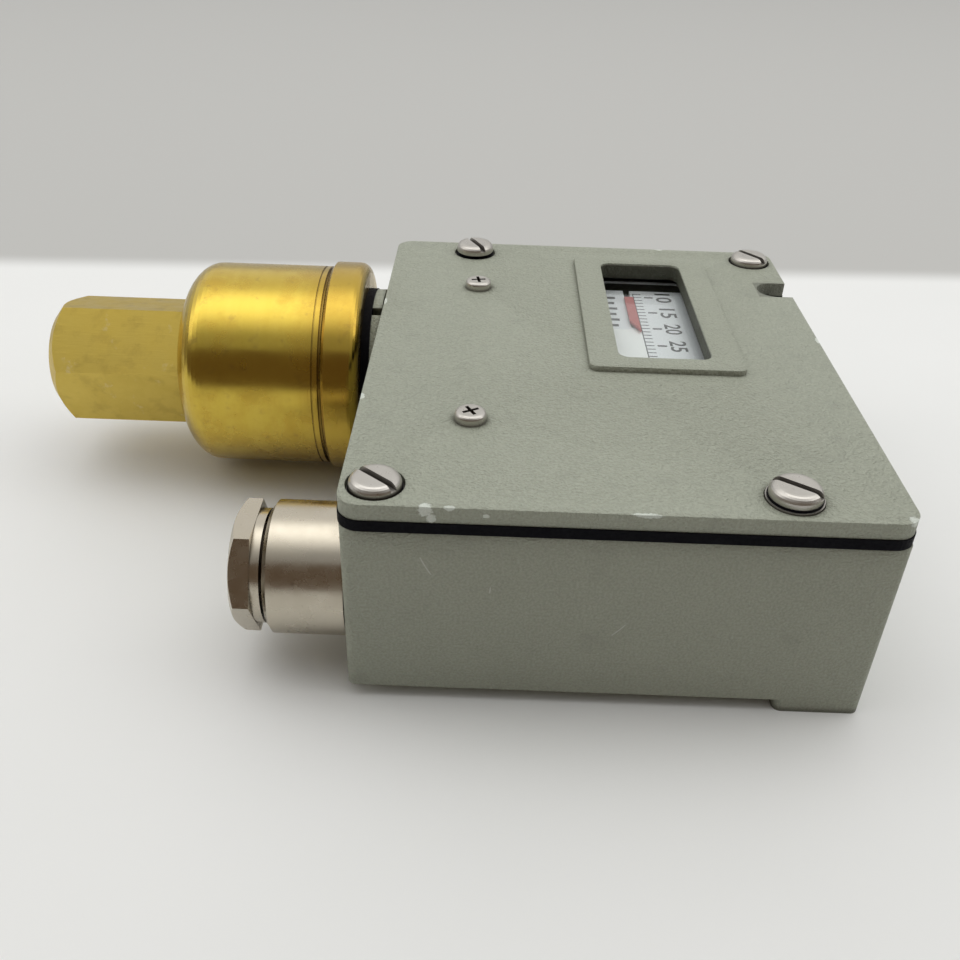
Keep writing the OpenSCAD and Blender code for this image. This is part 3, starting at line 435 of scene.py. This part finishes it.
def scale_card():
    """White card, brighter on its front left patch, beside the pointer's path."""
    finish = Finish("scale_white")
    cloud = finish.noise(6, 3)
    colour = finish.mix(cloud, (0.74, 0.75, 0.77), (0.80, 0.81, 0.82))
    front_left_patch = finish.math("MULTIPLY", finish.fade(finish.axis("X"), *PATCH_X, 1, 0),
                        finish.fade(finish.axis("Y"), *PATCH_Y, 1, 0))
    colour = finish.mix(front_left_patch, colour, (0.90, 0.90, 0.88))
    finish.set(Base_Color=colour, Roughness=finish.fade(cloud, 0.3, 0.7, 0.45, 0.6),
               Normal=finish.bump(finish.noise(0.6, 2), 0.004))
    return finish.material


def window_clear():
    """Clear acrylic with faint wiping scratches: mostly see-through, glossy at a low angle."""
    finish = Finish("window_acrylic")
    nodes_of = finish.tree.nodes
    clear = nodes_of.new("ShaderNodeBsdfTransparent")
    tint = finish.noise(12, 2)
    finish.link(finish.mix(tint, (0.97, 0.98, 0.98), (0.94, 0.96, 0.96)), clear.inputs["Color"])
    scratch = finish.noise(0.4, 5, 0.8, stretch=(1, 0.05, 1), shift=4)
    finish.set(Base_Color=finish.mix(tint, (0.82, 0.84, 0.84), (0.90, 0.92, 0.92)),
               Roughness=finish.fade(scratch, 0.3, 0.7, 0.03, 0.10))
    finish.surface.inputs["Metallic"].default_value = 1.0
    edge = nodes_of.new("ShaderNodeLayerWeight")
    edge.inputs["Blend"].default_value = 0.5
    share = finish.fade(edge.outputs["Facing"], 0.35, 1.0, 0.0, 0.35)
    both = nodes_of.new("ShaderNodeMixShader")
    finish.link(share, both.inputs[0])
    finish.tree.links.new(clear.outputs[0], both.inputs[1])
    finish.tree.links.new(finish.surface.outputs[0], both.inputs[2])
    finish.tree.links.new(both.outputs[0], finish.output.inputs["Surface"])
    return finish.material


def make_finishes():
    """Every material slot's finish."""
    return {
        "case_paint": paint(),
        "black_rubber": rubber(),
        "nickel_screw": metal("nickel_screw", (0.58, 0.56, 0.53), (0.46, 0.44, 0.40), 0.26),
        "window_acrylic": window_clear(),
        "steel": metal("steel", (0.58, 0.58, 0.58), (0.46, 0.46, 0.47), 0.30),
        "spring_steel": metal("spring_steel", (0.50, 0.50, 0.50), (0.36, 0.36, 0.38), 0.28),
        "yellow_zinc": metal("yellow_zinc", (0.72, 0.64, 0.40), (0.66, 0.58, 0.50), 0.32),
        "black_plastic": plastic("black_plastic", (0.016, 0.015, 0.014), (0.03, 0.028, 0.026), 0.35),
        "spun_brass": spun_brass(),
        "machined_brass": machined_brass(),
        "plain_brass": metal("plain_brass", (0.80, 0.60, 0.24), (0.62, 0.44, 0.16), 0.30),
        "red_paint": plastic("red_paint", (0.40, 0.075, 0.07), (0.46, 0.10, 0.09), 0.5, 0.01),
        "scale_white": scale_card(),
        "plunger_plastic": plastic("plunger_plastic", (0.62, 0.60, 0.52), (0.7, 0.68, 0.6), 0.4),
        "lead_insulation": plastic("lead_insulation", (0.03, 0.05, 0.16), (0.04, 0.07, 0.2), 0.4),
        "nickel_brass": turned_nickel(),
    }


finishes = make_finishes()
for part in frame["record"]["subparts"]:
    shown = nodes[part["node"]].data
    shown.materials.clear()
    shown.materials.append(finishes[part["material_slot"]])

# ---------------------------------------------------------------- mesh helpers


def mesh_piece(name, verts, faces, smooth=False):
    """A new object in the scene, from points in metres."""
    mesh = bpy.data.meshes.new(name)
    mesh.from_pydata([tuple(v) for v in verts], [], faces)
    mesh.update()
    piece = bpy.data.objects.new(name, mesh)
    scene.collection.objects.link(piece)
    if smooth:
        mesh.polygons.foreach_set("use_smooth", [True] * len(mesh.polygons))
    return piece


def coat(piece, slot_name):
    """Gives a drawn piece its material."""
    piece.data.materials.clear()
    piece.data.materials.append(finishes[slot_name])


def boxes_piece(name, boxes):
    """One mesh of several boxes, each given by its low and high corner in millimetres."""
    verts = []
    faces = []
    for low, high in boxes:
        first = len(verts)
        for x in (low[0], high[0]):
            for y in (low[1], high[1]):
                for z in (low[2], high[2]):
                    verts.append(Vector((x, y, z)) * MM)
        for face in ((0, 1, 3, 2), (4, 6, 7, 5), (0, 4, 5, 1), (2, 3, 7, 6), (0, 2, 6, 4), (1, 5, 7, 3)):
            faces.append(tuple(first + i for i in face))
    return mesh_piece(name, verts, faces)


def skin(rings, sides):
    """Faces that join each ring of points to the next."""
    faces = []
    for i in range(rings - 1):
        for k in range(sides):
            a = i * sides + k
            b = i * sides + (k + 1) % sides
            faces.append((a, b, b + sides, a + sides))
    return faces


def tube_piece(name, path, radius, sides=14):
    """A round wire along a path of points in metres, with closed ends."""
    verts = []
    count = len(path)
    for i, point in enumerate(path):
        along = (path[min(i + 1, count - 1)] - path[max(i - 1, 0)]).normalized()
        across = along.cross(Vector((0, 1, 0))).normalized()
        upward = across.cross(along)
        for k in range(sides):
            turn = 2 * math.pi * k / sides
            verts.append(point + radius * (math.cos(turn) * across + math.sin(turn) * upward))
    faces = skin(count, sides)
    faces.append(tuple(range(sides - 1, -1, -1)))
    faces.append(tuple((count - 1) * sides + k for k in range(sides)))
    return mesh_piece(name, verts, faces, True)


# ---------------------------------------------------------------- springs and bellows

# Wire radii in millimetres, and turns
RANGE_WIRE = 0.85
RANGE_TURNS = 11
DIFFERENTIAL_WIRE = 0.4
DIFFERENTIAL_TURNS = 6
COIL_STEPS = 40    # points in a turn of a coil
END_RISE = 0.25    # rise of a coil's closed end turn, next to that of an open one
SEAT_TURNS = 2.5   # turns of the range spring drawn as a piece of their own, next to the lever below it

BELLOWS_NECK = 12.9    # radii, lengths and thickness in millimetres
BELLOWS_CUFF = 2
BELLOWS_SKIN = 0.35
BELLOWS_FOLDS = 8
FOLD_STEPS = 16
FOLD_FULLNESS = 0.8    # below 1, the folds' crests are fuller than their roots
BELLOWS_SIDES = 72


def coil_path(centre, low, high, radius, wire, turns):
    """A coil round a Y-going axis, its end turns lying flat against its seats."""
    path = []
    total = turns * COIL_STEPS
    for i in range(total + 1):
        done = i / total * turns
        if done < 1:
            rise = END_RISE * done / turns
        elif done > turns - 1:
            rise = 1 - END_RISE * (turns - done) / turns
        else:
            rise = END_RISE / turns + (1 - 2 * END_RISE / turns) * (done - 1) / (turns - 2)
        turn = 2 * math.pi * done
        along = low + wire + (high - low - 2 * wire) * rise
        path.append(Vector((centre.x + radius * math.cos(turn), along,
                            centre.z + radius * math.sin(turn))))
    return path


def coil_for(node, wire, turns):
    """The coil that fills a CAD spring's box, and the box's ends on the coil's axis."""
    low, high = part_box(node)
    centre = (low + high) / 2
    radius = (high.x - low.x) / 2 - wire
    path = coil_path(centre, low.y, high.y, radius, wire, turns)
    return path, Vector((centre.x, low.y, centre.z)), Vector((centre.x, high.y, centre.z))


def range_spring_pieces():
    """The setting spring in two pieces: its lower turns next to the lever, the others up to the
    pointer's nut.
    """
    wire = RANGE_WIRE * MM
    path, low, high = coil_for("range_spring", wire, RANGE_TURNS)
    cut = round(SEAT_TURNS * COIL_STEPS)
    foot = tube_piece("range_spring_coil_foot", path[:cut + 1], wire)
    coat(foot, "spring_steel")
    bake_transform(foot)
    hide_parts("range_spring")
    piece = tube_piece("range_spring_coil", path[cut:], wire)
    coat(piece, "spring_steel")
    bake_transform(piece)
    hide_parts("range_spring")


def differential_spring_piece():
    """The small spring that the differential nut presses at its low end."""
    wire = DIFFERENTIAL_WIRE * MM
    path, low, high = coil_for("differential_spring", wire, DIFFERENTIAL_TURNS)
    piece = tube_piece("differential_spring_coil", path, wire)
    coat(piece, "spring_steel")
    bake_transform(piece)
    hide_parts("differential_spring")


def bellows_profile(low_x, high_x, outer):
    """Points (x, radius) of the folded wall, from the sealed end to the open one."""
    neck = BELLOWS_NECK * MM
    cuff = BELLOWS_CUFF * MM
    hem = neck - BELLOWS_SKIN * MM
    rows = FOLD_STEPS * BELLOWS_FOLDS
    profile = [(low_x, hem), (low_x, neck)]
    for i in range(rows + 1):
        part = i / rows
        swing = 0.5 - 0.5 * math.cos(2 * math.pi * BELLOWS_FOLDS * part)
        profile.append((low_x + cuff + (high_x - low_x - 2 * cuff) * part,
                        neck + (outer - neck) * swing ** FOLD_FULLNESS))
    return profile + [(high_x, neck), (high_x, hem)]


def bellows_piece():
    """Rounded convolutions turned about the sensor's axis, in the place of the CAD bellows."""
    low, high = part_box("bellows")
    axis_y = (low.y + high.y) / 2
    axis_z = (low.z + high.z) / 2
    profile = bellows_profile(low.x, high.x, (high.y - low.y) / 2)
    verts = []
    for x, r in profile:
        for k in range(BELLOWS_SIDES):
            turn = 2 * math.pi * k / BELLOWS_SIDES
            verts.append((x, axis_y + r * math.cos(turn), axis_z + r * math.sin(turn)))
    piece = mesh_piece("bellows_folds", verts, skin(len(profile), BELLOWS_SIDES), True)
    coat(piece, "plain_brass")
    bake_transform(piece)
    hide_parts("bellows")


# ---------------------------------------------------------------- softened edges


EDGE_RADII = (("housing", 0.35), ("cover", 0.3))    # millimetres
EDGE_SEGMENTS = 2
EDGE_ANGLE = math.radians(35)
WELD_REACH = 0.002 * MM


def soften(node, width):
    """Rounds a CAD node's sharp edges; its own vertices stay as they are."""
    piece = nodes[node]
    weld = piece.modifiers.new("weld", "WELD")
    weld.merge_threshold = WELD_REACH
    bevel = piece.modifiers.new("bevel", "BEVEL")
    bevel.width = width * MM
    bevel.segments = EDGE_SEGMENTS
    bevel.limit_method = "ANGLE"
    bevel.angle_limit = EDGE_ANGLE
    bevel.harden_normals = True
    bevel.use_clamp_overlap = True
    piece.data.polygons.foreach_set("use_smooth", [True] * len(piece.data.polygons))


for node, width in EDGE_RADII:
    soften(node, width)

# ---------------------------------------------------------------- dial

# Millimetres; the print stands PRINT_T proud of the scale plate
PRINT_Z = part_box("scale_plate")[1].z / MM
PRINT_T = 0.03

# The right scale: a line along Y with ticks towards +X
LINE_X = 12.0
LINE_Y = (-18, 44)
LINE_HALF = 0.12
FINE_END = 14.0
FINE_HALF = 0.15
FINE_TICKS = range(-17, 17)
BOLD_X = (14.7, 16.9)
BOLD_HALF = 0.34
BOLD_FIRST = 14.7
BOLD_STEP = 9.05
TICKS_PER_STEP = 5

# The left scale: broad ticks, every other one shorter
LEFT_X = 5.0
LEFT_END = 7.3
LEFT_SHORTER = 0.5
LEFT_FIRST = 41
LEFT_STEP = 3.2
LEFT_HALF = 0.6
LEFT_TICKS = 6

NUMBER_X = 17.6
NUMBER_H = 3.9
NUMBER_W = 5.4
NUMBER_STEPS = range(-2, 4)
NUMBER_AT_FIRST = 25
NUMBER_STEP = 5
STROKE_GROWTH = 0.012
STROKE_DEPTH = 0.01


def flat_box(x, y, half):
    """A printed bar over a stretch of X, centred on y."""
    return (x[0], y - half, PRINT_Z), (x[1], y + half, PRINT_Z + PRINT_T)


def make_ticks():
    """Both scales' ticks and the line between the pointer's path and the right scale."""
    boxes = [((LINE_X - LINE_HALF, LINE_Y[0], PRINT_Z),
              (LINE_X + LINE_HALF, LINE_Y[1], PRINT_Z + PRINT_T))]
    for i in FINE_TICKS:
        y = BOLD_FIRST + BOLD_STEP / TICKS_PER_STEP * i
        boxes.append(flat_box((LINE_X, FINE_END), y, FINE_HALF))
        if i % TICKS_PER_STEP == 0:
            boxes.append(flat_box(BOLD_X, y, BOLD_HALF))
    for i in range(LEFT_TICKS):
        end = LEFT_END - LEFT_SHORTER * (i % 2)
        boxes.append(flat_box((LEFT_X, end), LEFT_FIRST - LEFT_STEP * i, LEFT_HALF))
    piece = boxes_piece("dial_ticks", boxes)
    coat(piece, "black_plastic")
    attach(piece, "case")


def digits_mesh(value):
    """A number's mesh in the built-in font, at the font's own size."""
    curve = bpy.data.curves.new("dial_number", "FONT")
    curve.body = str(value)
    curve.extrude = STROKE_DEPTH
    curve.offset = STROKE_GROWTH
    drawn = bpy.data.objects.new("dial_number", curve)
    scene.collection.objects.link(drawn)
    bpy.context.view_layer.update()
    mesh = bpy.data.meshes.new_from_object(drawn.evaluated_get(bpy.context.evaluated_depsgraph_get()))
    bpy.data.objects.remove(drawn)
    return mesh


def make_number(value, y):
    """A number read with the sensor at the bottom, centred on its tick."""
    mesh = digits_mesh(value)
    low = [min(v.co[k] for v in mesh.vertices) for k in range(3)]
    high = [max(v.co[k] for v in mesh.vertices) for k in range(3)]
    digits = len(str(value))
    for v in mesh.vertices:
        across = (v.co.x - (low[0] + high[0]) / 2) / (high[0] - low[0]) * NUMBER_W * digits / 2
        upward = (v.co.y - low[1]) / (high[1] - low[1]) * NUMBER_H
        thick = (v.co.z - low[2]) / (high[2] - low[2]) * PRINT_T
        v.co = Vector((NUMBER_X + upward, y - across, PRINT_Z + thick)) * MM
    piece = bpy.data.objects.new("dial_number_%d" % value, mesh)
    scene.collection.objects.link(piece)
    coat(piece, "black_plastic")
    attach(piece, "case")


make_ticks()
for step in NUMBER_STEPS:
    make_number(NUMBER_AT_FIRST - NUMBER_STEP * step, BOLD_FIRST + BOLD_STEP * step)

range_spring_pieces()
differential_spring_piece()
bellows_piece()

# ---------------------------------------------------------------- stage and light

# The pale sheet's far edge, in millimetres, and how it slants
SHEET_EDGE = (147, 162)
SHEET_SLANT = 0.05

# The softbox: corners and height in metres, its glow's fades along Y in millimetres
BOX_LOW = (-2.4, -0.95)
BOX_HIGH = (2.4, 2.6)
BOX_Z = 0.9
BOX_POWER = 2.05
FRONT_FADE = (-580, 130)
FRONT_SHARE = 0.20
BACK_FADE = (150, 600)
BACK_SHARE = 0.44
FLOOR_HALF = 1.6

# The room's tone in front of the object and behind it, and the turn between them
ROOM_FRONT = (0.135, 0.095, 0.065, 1)
ROOM_BACK = (0.50, 0.50, 0.49, 1)
ROOM_TURN = (-0.4, 0.6)


def floor_finish():
    """Pale paper, painted darker behind its far edge as the shade of the backdrop."""
    finish = Finish("floor")
    cloud = finish.noise(60, 2)
    colour = finish.mix(cloud, (0.80, 0.815, 0.81), (0.84, 0.85, 0.85))
    slant = finish.math("MULTIPLY", finish.axis("X"), SHEET_SLANT)
    behind = finish.fade(finish.math("SUBTRACT", finish.axis("Y"), slant), *SHEET_EDGE)
    # Painted shade: the ground behind the sheet's edge stands for the dimmer backdrop.
    colour = finish.mix(behind, colour, (0.49, 0.492, 0.48))
    finish.set(Base_Color=colour, Roughness=0.6, Normal=finish.bump(finish.noise(5, 2), 0.05))
    return finish.material


def light_finish():
    """A soft light, brightest a little behind the object and dim towards its front."""
    finish = Finish("softbox")
    front = finish.fade(finish.axis("Y"), *FRONT_FADE, FRONT_SHARE, 1.0)
    back = finish.fade(finish.axis("Y"), *BACK_FADE, 1.0, BACK_SHARE)
    glow = finish.tree.nodes.new("ShaderNodeEmission")
    finish.link((1.0, 0.99, 0.97, 1.0), glow.inputs["Color"])
    shape = finish.math("MULTIPLY", front, back)
    finish.link(finish.math("MULTIPLY", shape, BOX_POWER), glow.inputs["Strength"])
    finish.tree.links.new(glow.outputs[0], finish.output.inputs["Surface"])
    return finish.material


def sheet_mesh(name, low, high, z):
    """A level rectangle, in metres."""
    corners = [(low[0], low[1], z), (high[0], low[1], z), (high[0], high[1], z), (low[0], high[1], z)]
    return mesh_piece(name, corners, [(0, 1, 2, 3)])


def make_stage():
    """The floor, and the softbox above it that the camera doesn't see."""
    floor = sheet_mesh("floor", (-FLOOR_HALF, -FLOOR_HALF), (FLOOR_HALF, FLOOR_HALF), 0)
    floor.data.materials.append(floor_finish())
    box = sheet_mesh("softbox", BOX_LOW, BOX_HIGH, BOX_Z)
    box.data.materials.append(light_finish())
    box.visible_camera = False


def make_room():
    """The dim room: warm in front of the object, paler behind it."""
    world = bpy.data.worlds.new("room")
    scene.world = world
    world.use_nodes = True
    tree = world.node_tree
    place = tree.nodes.new("ShaderNodeTexCoord")
    split = tree.nodes.new("ShaderNodeSeparateXYZ")
    tree.links.new(place.outputs["Generated"], split.inputs[0])
    turn = tree.nodes.new("ShaderNodeMapRange")
    turn.interpolation_type = "SMOOTHSTEP"
    turn.inputs["From Min"].default_value = ROOM_TURN[0]
    turn.inputs["From Max"].default_value = ROOM_TURN[1]
    tree.links.new(split.outputs["Y"], turn.inputs["Value"])
    mix = tree.nodes.new("ShaderNodeMix")
    mix.data_type = "RGBA"
    mix.inputs[COLOUR_A].default_value = ROOM_FRONT
    mix.inputs[COLOUR_B].default_value = ROOM_BACK
    tree.links.new(turn.outputs[0], mix.inputs[0])
    tree.links.new(mix.outputs[MIXED], tree.nodes["Background"].inputs["Color"])
    tree.nodes["Background"].inputs["Strength"].default_value = 1.0


make_stage()
make_room()
